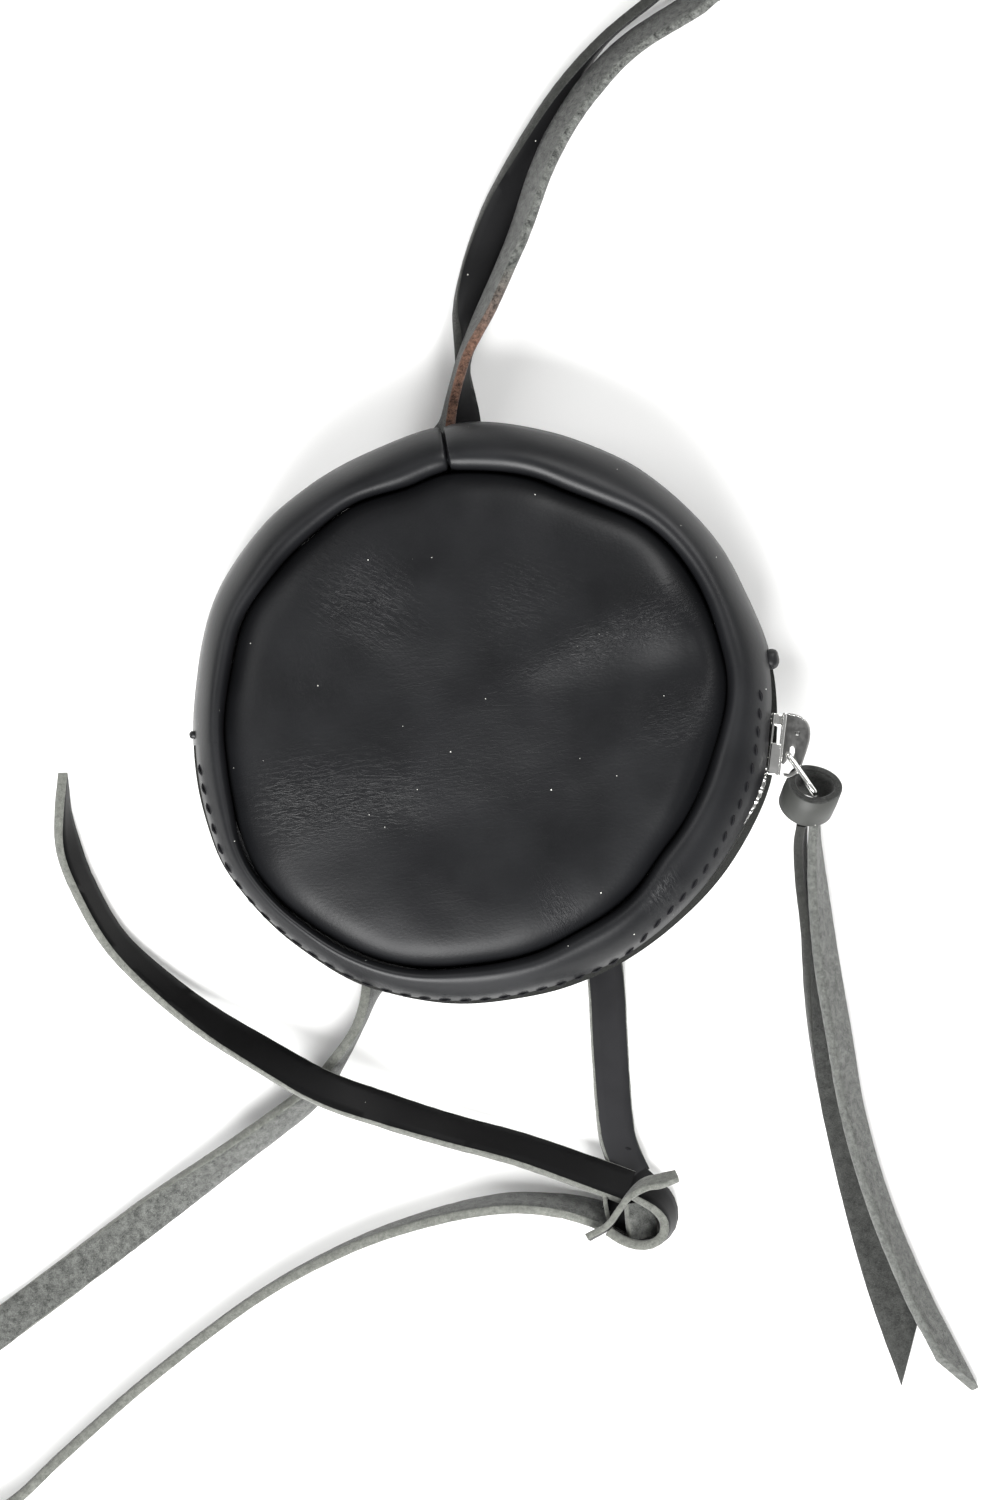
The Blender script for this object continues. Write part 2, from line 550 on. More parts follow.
def make_piece(name, points, faces, finishes, picks=None, smooth=True):
    """A mesh object from points in millimetres; picks gives each face its finish."""
    mesh = bpy.data.meshes.new(name)
    mesh.from_pydata((np.asarray(points, float) * MM).tolist(), [], faces)
    for finish in finishes:
        mesh.materials.append(material(finish))
    if picks is not None:
        mesh.polygons.foreach_set("material_index", picks)
    mesh.polygons.foreach_set("use_smooth", [smooth] * len(mesh.polygons))
    mesh.validate()
    mesh.update()
    return add_object(name, mesh)


def settle(piece, body, slot, *nodes):
    """Puts a piece on its body, with its finish slot and the nodes that it stands for."""
    if body:
        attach(piece, body)
    if nodes:
        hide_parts(*nodes)
    return piece


def settle_across(piece, slot, *nodes):
    """The same for leather that bends between the shell and the mouth."""
    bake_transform(piece)
    return settle(piece, None, slot, *nodes)


def sweep(rings, looped=False):
    """Faces between closed rings of equal length, with capped ends unless the row is looped."""
    count, n = len(rings), len(rings[0])
    faces, columns = [], []
    for i in range(count if looped else count - 1):
        a, b = i * n, (i + 1) % count * n
        for j in range(n):
            k = (j + 1) % n
            faces.append((a + j, a + k, b + k, b + j))
            columns.append(j)
    if not looped:
        faces.append(tuple(reversed(range(n))))
        faces.append(tuple((count - 1) * n + j for j in range(n)))
        columns += [-1, -1]
    return np.concatenate(rings), faces, columns


def catmull(points, per_span):
    """A smooth line through points, one row each, with per_span steps from one to the next."""
    p = np.asarray(points, float)
    p = np.vstack([2 * p[0] - p[1], p, 2 * p[-1] - p[-2]])
    out = []
    for i in range(1, len(p) - 2):
        a, b, c, d = p[i - 1], p[i], p[i + 1], p[i + 2]
        for t in np.arange(per_span) / per_span:
            square, cube = 2 * a - 5 * b + 4 * c - d, 3 * b - a - 3 * c + d
            out.append(0.5 * (2 * b + (c - a) * t + square * t**2 + cube * t**3))
    return np.array(out + [p[-2]])


def even(line, step):
    """The same line with its points about step apart, by its first three columns."""
    along = distances(line[:, :3])
    return resampled(line, along, max(2, int(round(along[-1] / step)) + 1))


def frames(line):
    """Tangent, left and up directions at each point of a line."""
    along = unit_rows(np.gradient(line[:, :3], axis=0))
    left = unit_rows(np.cross([0, 0, 1.0], along))
    return along, left, np.cross(along, left)


CUT_CORNER, CUT_BULGE = 0.22, 0.04  # rounding and swelling of a cut edge


def ribbon_ring(width, thickness):
    """Closed outline of a cut strap and the finish of each of its sides: grain, edge, flesh, edge."""
    w, t, c = width / 2, thickness / 2, CUT_CORNER
    top = [(x, t) for x in np.linspace(-w + c, w - c, 5)]
    right = [(w, t - c), (w + CUT_BULGE, 0), (w, -t + c)]
    low = [(x, -t) for x in np.linspace(w - c, -w + c, 5)]
    left = [(-w, -t + c), (-w - CUT_BULGE, 0), (-w, t - c)]
    sides = [0] * 4 + [1] * 4 + [2] * 4 + [1] * 4
    return np.array(top + right + low + left), sides


def ribbon(name, stations, finishes, width=None, thickness=None, tip=0.0, step=1.6, taper=None, ragged=0.09,
           seed=0.0, edge_change=None):
    """A cut strap along its stations. Returns the piece and the middle of each ring, in metres.
    edge_change is the length from where its cut edges have another finish, and that finish."""
    ring, sides = ribbon_ring(width or sizes().strap_width, thickness or sizes().strap_thickness)
    line = even(catmull(stations, 12), step)
    along, left, up = frames(line)
    rings = []
    for i, station in enumerate(line):
        c, s = math.cos(math.radians(station[3])), math.sin(math.radians(station[3]))
        across, over = c * left[i] + s * up[i], -s * left[i] + c * up[i]
        scale = 1.0 if taper is None else taper(i / (len(line) - 1))
        offsets = ring * [scale, 1.0]
        wear = np.array([noise.noise(Vector((i * 0.9 + seed, j * 3.1, seed))) for j in range(len(ring))])
        offsets = offsets + np.sign(ring) * wear[:, None] * [ragged, ragged * 0.4]
        near_end = max(0.0, 1 - (len(line) - 1 - i) * step / (1.2 * abs(tip) + 0.1))
        extra = near_end * tip * offsets[:, 0] / ring[:, 0].max() / 2
        ring_at = station[:3] + offsets[:, :1] * across + offsets[:, 1:] * over
        rings.append(ring_at + extra[:, None] * along[i])
    points, faces, columns = sweep(rings)
    picks = [1 if j < 0 else sides[j] for j in columns]
    if edge_change:
        reach, pick = edge_change
        picks = [pick if old == 1 and k // len(ring) * step >= reach else old for k, old in enumerate(picks)]
    made = make_piece(name, points, faces, finishes, picks)
    made.data.polygons.foreach_set("use_smooth", [pick != 1 or j >= 0 for pick, j in zip(picks, columns)])
    sharpen(made, 50)
    return made, (line[:, :3] * MM).tolist()


def sharpen(piece, degrees):
    """Keeps edges above an angle crisp."""
    piece.data.set_sharp_from_angle(angle=math.radians(degrees))
    return piece


# ---------------------------------------------------------------- coils


def coil_stations(centre, turn, enter, leave, radius, roll):
    """Stations of a doubled strap wound on edge: in along one strand from the enter angle, round
    the middle and out along the other to the leave angle. turn is 1 for anticlockwise inward."""
    centre = np.array(centre, float)
    inner = 2 * COIL_BEND
    turns_in = (radius - inner) / COIL_PITCH
    last = enter + turn * 360 * turns_in

    def at(distance, angle):
        """A point at a distance from the coil's centre."""
        return centre + np.array(turned(distance, 0.0, angle))

    steps = int(turns_in * COIL_STEPS)
    left = [turns_in * (1 - i / steps) for i in range(steps + 1)]
    stations = [at(inner + COIL_PITCH * out, last - turn * 360 * out) for out in left]
    for side in (1, -1):
        hub = centre + side * (at(COIL_BEND, last) - centre)
        for i in range(1, 9):
            stations.append(hub + np.array(turned(COIL_BEND, 0.0, last + turn * 180 * i / 8 * side)))
    begin = last + 180
    turns_out = (turn * (begin - leave) % 360) / 360 + math.floor(turns_in - 0.4)
    steps = int(turns_out * COIL_STEPS)
    for i in range(1, steps + 1):
        out = turns_out * i / steps
        stations.append(at(inner + COIL_PITCH * out, begin - turn * 360 * out))
    return [(x, y, COIL_HEIGHT, roll) for x, y in stations]


# ---------------------------------------------------------------- bag surfaces


def around(values, angle):
    """A value listed by angle, smoothly between the listed ones and round the whole turn."""
    n = len(values)
    a = (angle - values[0][0]) % 360 + values[0][0]
    i = max(k for k in range(n) if values[k][0] <= a)
    spots = [(values[(i + k) % n][0] + 360 * ((i + k) // n), values[(i + k) % n][1]) for k in (-1, 0, 1, 2)]
    (a0, v0), (a1, v1), (a2, v2), (a3, v3) = spots
    span = a2 - a1
    t = (a - a1) / span
    m1, m2 = (v2 - v0) / (a2 - a0) * span, (v3 - v1) / (a3 - a1) * span
    return ((2 * t**3 - 3 * t**2 + 1) * v1 + (t**3 - 2 * t**2 + t) * m1
            + (3 * t**2 - 2 * t**3) * v2 + (t**3 - t**2) * m2)


def outline(angle):
    """Radii of the groove, the front lip's edge and the whole bag at an angle."""
    reach = around(REACH, angle)
    return around(GROOVE, angle), reach - around(LIP_INSET, angle), reach


def wall_faces(angle):
    """Outer face of the wall at an angle as (front, middle, back) lists of radius and height."""
    groove, lip, reach = outline(angle)
    front = [(groove + (lip - groove) * share, height) for share, height in WALL_FRONT]
    back = [(reach + shift, height) for shift, height in WALL_BACK[:4]]
    back += [(BACK_REACH + shift, height) for shift, height in WALL_BACK[4:]]
    return front, [(lip * 0.3 + reach * 0.7, 0.0)], back


def smooth_profile(points, n):
    """A smooth profile of n evenly spaced points through a few."""
    line = catmull(points, 8)
    return resampled(line, distances(line), n)


def thicken(face, thickness):
    """Closed outline of a skin whose outer face is given; the skin lies to its right."""
    return np.vstack([face, (face + right_of(face) * thickness)[::-1]])


def on_circle(profile, angle):
    """A profile of radius and height stood up at an angle round the bag."""
    x, y = turned(profile[:, 0], 0.0, angle)
    return np.stack([x, y, MID + profile[:, 1]], axis=1)


def soft(x, y, z, scale, seed=0.0):
    """A smooth random value at a place."""
    return noise.noise(Vector((x * scale, y * scale, z * scale + seed)))


def wall_skin(face, angle, seam=True):
    """Adds the leather's small waves, and the butt seam, to a wall profile."""
    face = face.copy()
    for k, (r, h) in enumerate(face):
        x, y = turned(r, 0.0, angle)
        face[k, 0] += 0.35 * soft(x, y, h, 0.07, 3.0)
        face[k, 1] += 0.3 * soft(x, y, h, 0.06, 9.0)
    if seam:
        off = (angle - SEAM_ANGLE + 180) % 360 - 180
        lean = 0.35 * np.sin(np.linspace(0, 3.0, len(face)))
        depth = 1.3 * np.exp(-(((off - lean) * 1.02) / 0.3) ** 2) + 0.35 * np.exp(-((off * 1.02) / 1.6) ** 2)
        face += right_of(face) * depth[:, None]
    return face


SEAM_GAPS = (0.0, 0.1, 0.2, 0.3, 0.42, 0.6, 0.9, 1.4)
SEAM_REACH = 1.6


def arc_angles(start, stop, step):
    """Angles from start to stop, closer together at the butt seam."""
    count = int(round((stop - start) / step))
    angles = set(np.round(np.linspace(start, stop, count + 1), 4))
    if start < SEAM_ANGLE < stop:
        near = {SEAM_ANGLE + side * gap for side in (-1, 1) for gap in SEAM_GAPS}
        angles = {a for a in angles if abs(a - SEAM_ANGLE) > SEAM_REACH} | near
    return sorted(angles)


def swept_wall(angles, choose, n):
    """Sweeps part of the wall's profile through angles; choose picks its outer points."""
    rings = []
    for angle in angles:
        face = wall_skin(smooth_profile(choose(*wall_faces(angle)), n), angle)
        rings.append(on_circle(thicken(face, sizes().leather), angle))
    return sweep(rings)


def merged(parts):
    """Several (points, faces, columns) as one."""
    points, faces, columns, base = [], [], [], 0
    for p, f, c in parts:
        points.append(p)
        faces += [tuple(i + base for i in face) for face in f]
        columns += list(c)
        base += len(p)
    return np.concatenate(points), faces, columns


def skin_picks(columns, n):
    """Finish of each face of a thickened skin: outside 0, cut edges 1, inside 2."""
    return [1 if j < 0 or j in (n - 1, 2 * n - 1) else 0 if j < n - 1 else 2 for j in columns]


def panel_height(x, y):
    """How far the front panel stands above its even dome."""
    total = 0.9 * soft(x, y, 0, 0.03, 1.0) + 0.25 * soft(x, y, 0, 0.11, 5.0)
    for cx, cy, length, width, turn, height in DENTS:
        along, across = turned(x - cx, y - cy, -turn)
        total += height * math.exp(-((along / length) ** 2 + (across / width) ** 2))
    return total


def disc(profile, limit, relief, rings, spokes, thickness):
    """A panel: rings of points out from the middle, with its turned edge, as a closed skin."""
    face = smooth_profile(profile, rings)
    reach = face[:, 0].max()
    under = thicken(face, thickness)[len(face):][::-1]
    points, faces, columns = [], [], []
    for layer in (face, under):
        middle = relief(0, 0) if relief else 0.0
        points.append((0, 0, MID + layer[0, 1] + middle))
        for r, h in layer[1:]:
            for k in range(spokes):
                angle = 360 * k / spokes
                x, y = turned(max(r, 0.2) * limit(angle) / reach, 0.0, angle)
                lift = relief(x, y) * min(1.0, max(0.0, (reach - r) / 6)) if relief else 0.0
                points.append((x, y, MID + h + lift))
    size = 1 + (len(face) - 1) * spokes
    for layer in (0, 1):
        base = layer * size
        for k in range(spokes):
            follow = (k + 1) % spokes
            fan = (base, base + 1 + k, base + 1 + follow)
            faces.append(fan if layer == 0 else fan[::-1])
            columns.append(0 if layer == 0 else 2)
            for i in range(len(face) - 2):
                a, b = base + 1 + i * spokes, base + 1 + (i + 1) * spokes
                quad = (a + k, b + k, b + follow, a + follow)
                faces.append(quad if layer == 0 else quad[::-1])
                columns.append(0 if layer == 0 else 2)
    edge = 1 + (len(face) - 2) * spokes
    for k in range(spokes):
        follow = (k + 1) % spokes
        faces.append((edge + k, size + edge + k, size + edge + follow, edge + follow))
        columns.append(1)
    return np.array(points), faces, columns


# ---------------------------------------------------------------- pieces of the bag


def build_panels():
    """Front and back panels."""
    def front_limit(angle):
        """Radius of the front panel, just inside the groove."""
        return outline(angle)[0] - 0.25

    points, faces, picks = disc(FRONT_PANEL, front_limit, panel_height, 46, 180, sizes().leather)
    front = make_piece("front_panel", points, faces, ["panel", "strap_edge", "inside"], picks)
    settle_across(front, "bag_leather", "front_panel_upper", "front_fold", "front_panel_lower")
    back_profile = [(r, -h) for r, h in BACK_PANEL]
    points, faces, picks = disc(back_profile, lambda angle: BACK_LIMIT, None, 30, 120, sizes().leather)
    points[:, 2] = 2 * MID - points[:, 2]
    faces = [face[::-1] for face in faces]
    back = make_piece("back_panel_leather", points, faces, ["panel", "strap_edge", "inside"], picks)
    settle(back, "shell", "bag_leather", "back_panel")


def build_wall():
    """Side wall with its rolled rims, and the front rim that opens with the mouth."""
    n = 44
    closed, opened = arc_angles(ZIP_TO, 360 + ZIP_FROM, 1.5), arc_angles(ZIP_FROM, ZIP_TO, 1.5)
    upper = swept_wall(closed, lambda front, middle, back: front + middle + back, n)
    lower = swept_wall(opened, lambda front, middle, back: back, n)
    points, faces, columns = merged([upper, lower])
    finishes = ["rim", "dyed_edge", "inside"]
    wall = make_piece("side_wall_leather", points, faces, finishes, skin_picks(columns, n))
    sharpen(wall, 60)
    settle(wall, "shell", "bag_leather", "side_wall")
    points, faces, columns = swept_wall(opened, lambda front, middle, back: front, n)
    rim = make_piece("front_rim", points, faces, finishes, skin_picks(columns, n))
    sharpen(rim, 60)
    settle_across(rim, "bag_leather", "front_lip", "rim_fold_right", "rim_fold_left")


def lip_point(angle, side, slant):
    """A point of the stitch line on a lip, slant further from its edge, and the direction out."""
    front, _, back = wall_faces(angle)
    face = wall_skin(smooth_profile(front[::-1] if side > 0 else back, 60), angle, seam=False)
    along = distances(face)
    if side > 0:
        target = around(REACH, angle) - around(STITCH_INSET, angle)
        inset = float(np.interp(-target, -face[:, 0], along)) + slant
    else:
        inset = BACK_STITCH_INSET + slant
    here, ahead = [[np.interp(inset + step, along, column) for column in face.T] for step in (0.0, 0.4)]
    d = np.array(ahead) - here
    d /= np.linalg.norm(d)
    out = np.array([d[1], -d[0]]) * (1 if side > 0 else -1)
    if out[0] < 0:
        out = -out
    point = (*turned(here[0], 0.0, angle), MID + here[1])
    return np.array(point), np.array((*turned(out[0], 0.0, angle), out[1]))


def tube(line, radius, sides=8):
    """A round tube along a line, as (points, faces, columns)."""
    line = np.asarray(line, float)
    along = unit_rows(np.gradient(line, axis=0))
    helper = np.array([0, 0, 1.0]) if abs(along[0][2]) < 0.8 else np.array([1.0, 0, 0])
    across = np.cross(along[0], helper)
    rings = []
    radii = np.broadcast_to(radius, len(line))
    for i, point in enumerate(line):
        across = across - along[i] * (across @ along[i])
        across /= np.linalg.norm(across)
        over = np.cross(along[i], across)
        angles = np.linspace(0, 2 * math.pi, sides, endpoint=False)
        rings.append(point + radii[i] * (np.cos(angles)[:, None] * across + np.sin(angles)[:, None] * over))
    return sweep(rings)


def stitch_row(name, side, start, stop):
    """Slanting stitches along a lip, each bedded at both ends."""
    parts = []
    radius = sizes().thread / 2
    step = math.degrees(sizes().stitch_pitch / STITCH_RADIUS)
    count = int((stop - start) / step)
    for i in range(count):
        angle = start + (i + 0.5) * step + 0.12 * math.sin(i * 5.1)
        line = []
        for t in np.linspace(-0.5, 0.5, 9):
            point, out = lip_point(angle + t * step * 0.6, side, t * 0.75)
            line.append(point + out * (0.4 * math.cos(t * math.pi) - 0.16))
        parts.append(tube(line, radius * np.array([0.7, 0.95, 1, 1, 1, 1, 1, 0.95, 0.7])))
    points, faces, _ = merged(parts)
    return make_piece(name, points, faces, ["thread"])


def build_stitches():
    """Thread along both lips."""
    front = stitch_row("front_lip_stitches", 1, ZIP_FROM + 3, ZIP_TO - 1.5)
    settle_across(front, "thread", "front_lip_thread")
    back = stitch_row("back_lip_stitches", -1, ZIP_FROM + 3, ZIP_TO - 1.5)
    settle(back, "shell", "thread", "back_lip_thread")


def build_zip():
    """Tapes, teeth, stops and the folded ends of the zip."""
    for side, name in ((1, "front"), (-1, "back")):
        rings = []
        for angle in np.linspace(ZIP_FROM + 1, ZIP_TO - 2, 120):
            inner = outline(angle)[1] - TAPE_INSET
            line = smooth_profile([(inner + out, up * side) for out, up in TAPE_PROFILE], 12)
            rings.append(on_circle(thicken(line if side > 0 else line[::-1], TAPE_THICKNESS), angle))
        points, faces, _ = sweep(rings)
        tape = make_piece("zip_tape_" + name + "_weave", points, faces, ["tape"])
        teeth = tooth_row("zip_teeth_" + name + "_metal", side)
        if side > 0:
            settle_across(tape, "tape", "zip_tape_front")
            settle_across(teeth, "metal", "zip_teeth_front", "zip_top_stop_front")
        else:
            settle(tape, "shell", "tape", "zip_tape_back")
            settle(teeth, "shell", "metal", "zip_teeth_back", "zip_top_stop_back", "zip_bottom_stop")
    for side, angle, size in END_TABS:
        settle(end_tab("zip_end_" + side, angle, size), "shell", "bag_leather", "zip_end_tab_" + side)


def rounded_block(size, bevel, segments=2, at=(0.0, 0.0, 0.0)):
    """A block with rounded edges about a place, as (points, faces, columns)."""
    work = bmesh.new()
    bmesh.ops.create_cube(work, size=1.0)
    bmesh.ops.scale(work, vec=size, verts=work.verts)
    bmesh.ops.bevel(work, geom=list(work.edges), offset=bevel, segments=segments, profile=0.5, affect="EDGES")
    work.verts.ensure_lookup_table()
    points = np.array([v.co[:] for v in work.verts])
    faces = [tuple(v.index for v in f.verts) for f in work.faces]
    work.free()
    return points + at, faces, [0] * len(faces)


def at_angle(points, radius, angle, height):
    """Moves points (out, along, up) to a place on the zip."""
    x, y = turned(points[:, 0] + radius, points[:, 1], angle)
    return np.stack([x, y, points[:, 2] + height + MID], axis=1)


def tooth_row(name, side):
    """One row of teeth, each with a narrow head that sits between two of the other row."""
    step = math.degrees(sizes().tooth_pitch / ZIP_RADIUS)
    count = int((ZIP_TO - 5 - ZIP_FROM - 3) / step)
    foot, faces, columns = rounded_block((1.7, 1.15, 1.7), 0.28)
    head, head_faces, head_columns = rounded_block((1.5, 1.5, 1.1), 0.3)
    parts = []
    for i in range(count):
        angle = ZIP_TO - 5 - step * (i + (0.5 if side < 0 else 0.0))
        off = (angle - TEETH_BULGE["angle"]) / TEETH_BULGE["spread"]
        radius = outline(angle)[1] - TEETH_INSET + TEETH_BULGE["out"] * math.exp(-(off**2))
        parts.append((at_angle(foot, radius, angle, 1.35 * side), faces, columns))
        parts.append((at_angle(head, radius, angle, 0.35 * side), head_faces, head_columns))
    points, faces, _ = merged(parts)
    return make_piece(name, points, faces, ["metal"])


def end_tab(name, angle, size):
    """Folded leather lump that covers an end of the zip."""
    points, faces, _ = rounded_block(size, min(size) * 0.42, 4)
    for k, (x, y, z) in enumerate(points):
        pinch = 1 - 0.3 * abs(z) / size[2]
        points[k] = (x * pinch + 0.3 * soft(x, y, z, 0.5, 2.0), y * pinch + 0.2 * soft(x, y, z, 0.7, 6.0), z)
    return make_piece(name, at_angle(points, outline(angle)[2] - TAB_SINK, angle, 0.6), faces, ["rim"])


# ---------------------------------------------------------------- slider and pull

# Side view of the crown: out from the plate and down along it, round the outside, then back up
# round the slot that the link hangs in.
CROWN_PROFILE = [
    (0.0, 0.0), (1.5, 0.1), (2.9, 0.6), (4.1, 1.6), (4.7, 3.1), (4.8, 4.9), (4.5, 6.9), (4.2, 8.4),
    (3.9, 9.8), (3.5, 11.1), (2.7, 12.2), (1.6, 12.8), (0.5, 12.7), (0.3, 12.2), (1.5, 12.2), (2.4, 11.6),
    (2.8, 10.8), (2.4, 9.9), (2.0, 8.7), (2.25, 7.8), (2.15, 6.9), (1.6, 6.4), (1.1, 6.9), (1.2, 8.3),
    (0.8, 9.5), (0.2, 10.6), (-0.3, 10.2), (-0.3, 0.0),
]
CROWN_OUTSIDE = 13  # how many of those points make the outside
SLIDER_ANGLE = -6.5
PULL_ANGLE = -55.0
PLATE_FACE = 61.8
CROWN_TOP = 6.5
CROWN_HOLE = (1.75, -2.85)  # out from the plate's face and along
CROWN_WIDTH, BAND_WIDTH, BAND_THICKNESS = 3.4, 3.6, 0.34
PLATES = [
    {"near": 60.7, "far": 61.5, "length": 13.2, "width": 9.0},
    {"near": 58.6, "far": 59.2, "length": 12.6, "width": 8.6},
]
PLATE_TAPER = 0.22
POST = {"size": (2.6, 2.6, 1.7), "bevel": 0.4, "segments": 3, "at": (59.6, 5.0, 0.0)}
FLANGE = {"size": (2.2, 6.6, 0.7), "bevel": 0.25}
FLANGE_PLACES = [(60.0, -3.1, 3.8), (60.0, -3.1, -3.8)]
RIVET = {"size": (1.0, 1.0, 0.5), "bevel": 0.24, "segments": 3,
         "at": (PLATE_FACE + 2.3, CROWN_TOP - 3.8, 1.72)}


def on_slider(points):
    """From the slider's own axes (out, along the zip, up) to where it stands."""
    return at_angle(points, 0.0, SLIDER_ANGLE, 0.0)


def plate(near, far, length, width):
    """A slider plate with a tapered outline and rolled long edges."""
    out, faces, columns = rounded_block((far - near, length, width), 0.24, 3)
    for k, (x, y, z) in enumerate(out):
        narrow = 1 - PLATE_TAPER * max(0.0, -y / (length / 2))
        out[k] = (x + (near + far) / 2, y, z * narrow)
    return out, faces, columns


def extruded(outline_points, depth):
    """A closed shape given as (out, along) points, made solid from -depth/2 to depth/2 in height."""
    n = len(outline_points)
    points = [(x, y, z) for z in (-depth / 2, depth / 2) for x, y in outline_points]
    faces = [(i, (i + 1) % n, n + (i + 1) % n, n + i) for i in range(n)]
    faces += [tuple(reversed(range(n))), tuple(range(n, 2 * n))]
    return np.array(points), faces, [0] * len(faces)


def strip_outline(line, thickness):
    """A bent strip of even thickness as a closed shape."""
    side = right_of(line) * thickness / 2
    return np.vstack([line - side, (line + side)[::-1]])


def build_slider():
    """Slider body and the arched crown that holds the link."""
    parts = [plate(**sizes_of) for sizes_of in PLATES] + [rounded_block(**POST)]
    parts += [rounded_block(**FLANGE, at=at) for at in FLANGE_PLACES]
    points, faces, _ = merged(parts)
    body = make_piece("slider_body", on_slider(points), faces, ["metal"])
    settle(body, "slider", "metal", "slider_outer_plate", "slider_inner_plate")
    profile = np.array([(PLATE_FACE + x, CROWN_TOP - y) for x, y in CROWN_PROFILE])
    points, faces, _ = extruded(profile, CROWN_WIDTH)
    crown = make_piece("slider_crown_cover", on_slider(points), faces, ["gunmetal"])
    finish_edges(crown, 0.18)
    settle(crown, "slider", "metal", "slider_crown")
    points, faces, _ = rounded_block(**RIVET)
    settle(make_piece("slider_crown_rivet", on_slider(points), faces, ["gunmetal"]), "slider", "metal")
    edge = strip_outline(catmull(profile[:CROWN_OUTSIDE], 4), BAND_THICKNESS)
    points, faces, _ = extruded(edge, BAND_WIDTH)
    band = make_piece("slider_crown_edge", on_slider(points), faces, ["metal"])
    finish_edges(band, 0.08)
    settle(band, "slider", "metal")


def finish_edges(piece, width, segments=2):
    """Rounds a piece's edges, with the result kept in its mesh."""
    work = bmesh.new()
    work.from_mesh(piece.data)
    sharp = [e for e in work.edges if len(e.link_faces) == 2 and e.calc_face_angle() > math.radians(40)]
    bmesh.ops.bevel(work, geom=sharp, offset=width * MM, segments=segments, profile=0.6, affect="EDGES",
                    clamp_overlap=True)
    work.to_mesh(piece.data)
    work.free()
    piece.data.polygons.foreach_set("use_smooth", [True] * len(piece.data.polygons))
    sharpen(piece, 40)


def crown_hole():
    """Where the link turns in the crown."""
    return on_slider(np.array([[PLATE_FACE + CROWN_HOLE[0], CROWN_HOLE[1], 0.0]]))[0]


LINK = {"half_length": 5.0, "half_width": 2.65, "corner": 6, "inner_end": 1.5}
HITCH = {
    "centre": (66.6, -17.4, 14.7), "radius": 5.6, "wall": 1.7, "height": 7.5, "lean": 46.0, "turn": -22.0,
}


def build_pull():
    """Wire link and the leather hitch that hangs in it."""
    line = []
    for angle in np.linspace(0, 2 * math.pi, 64, endpoint=False):
        c, s = math.cos(angle), math.sin(angle)
        x = LINK["half_length"] * math.copysign(abs(c) ** (2 / LINK["corner"]), c)
        z = LINK["half_width"] * math.copysign(abs(s) ** (2 / LINK["corner"]), s)
        line.append((x + LINK["half_length"] - LINK["inner_end"], 0.0, z))
    line = np.array(line)
    rings = []
    along = unit_rows(np.roll(line, -1, 0) - np.roll(line, 1, 0))
    radius = sizes().link_wire / 2
    side = np.array([0, 1.0, 0])
    angles = np.linspace(0, 2 * math.pi, 12, endpoint=False)
    for i, point in enumerate(line):
        over = np.cross(along[i], side)
        rings.append(point + radius * (np.cos(angles)[:, None] * side + np.sin(angles)[:, None] * over))
    points, faces, _ = sweep(rings, looped=True)
    turn = Matrix.Rotation(math.radians(PULL_ANGLE), 3, "Z")
    points = points @ np.array(turn).T + crown_hole()
    link = make_piece("pull_link_wire", points, faces, ["metal"])
    settle(link, "pull", "metal", "pull_link")
    settle(hitch_band(), "pull", "thong_leather", "pull_hitch")


def hitch_band():
    """A band of strap leather wound once round and tucked into itself."""
    rings = []
    outer, wall, height = HITCH["radius"], HITCH["wall"], HITCH["height"] / 2
    lean = Matrix.Rotation(-math.radians(HITCH["lean"]), 3, "X")
    lean = Matrix.Rotation(math.radians(HITCH["turn"]), 3, "Z") @ lean
    for k in range(72):
        angle = 2 * math.pi * k / 72
        grow = 0.25 * math.sin(2 * angle + 0.6) + 0.15 * math.sin(3 * angle)
        tall = height * (1 + 0.05 * math.sin(angle + 1.0))
        r0, r1 = outer - wall + grow, outer + grow
        ring = [(r1 - 0.25, tall), (r1, tall - 0.25), (r1 + 0.12, 0), (r1, -tall + 0.25), (r1 - 0.25, -tall),
                (r0 + 0.25, -tall), (r0, -tall + 0.25), (r0, 0), (r0, tall - 0.25), (r0 + 0.25, tall)]
        rings.append(np.array([(r * math.cos(angle), r * math.sin(angle), z) for r, z in ring]))
    points, faces, columns = sweep(rings, looped=True)
    sides = [1, 0, 0, 1, 1, 1, 2, 2, 1, 1]
    points = points @ np.array(lean).T + HITCH["centre"]
    finishes = ["hitch_grain", "hitch_edge", "dark_flesh"]
    picks = [sides[j] for j in columns]
    return sharpen(make_piece("pull_hitch_band", points, [f[::-1] for f in faces], finishes, picks), 45)


def build_thongs():
    """The two thongs that hang from the hitch."""
    light = ["strap_grain", "grey_edge", "thong_flesh"]
    dark = ["strap_grain", "dark_edge", "dark_flesh"]
    for name, stations, finishes, tip, node in (("thong_short", THONG_SHORT, dark, 11.2, "pull_thong_short"),
                                                ("thong_long", THONG_LONG, light, -9.6, "pull_thong_long")):
        made, path = ribbon(name, stations, finishes, tip=tip, seed=len(name))
        settle(made, "pull", "thong_leather", node)


# ---------------------------------------------------------------- straps

NECK_HALF = 330.0  # length from where the cut edges are dyed through
NECK_COIL = {"centre": (39.0, 196.1), "turn": 1, "enter": -52.0, "leave": -52.0, "radius": 42.0, "roll": 270}
BODY_COIL = {
    "centre": (-147.0, -113.5), "turn": -1, "enter": -52.4, "leave": -110.0, "radius": 39.2, "roll": 90,
}
STRAP_FINISHES = ["strap_grain", "strap_edge", "strap_flesh"]
EYE_STITCHES = [(25.8, -90.4, 1.9), (29.0, -90.4, 1.9)]


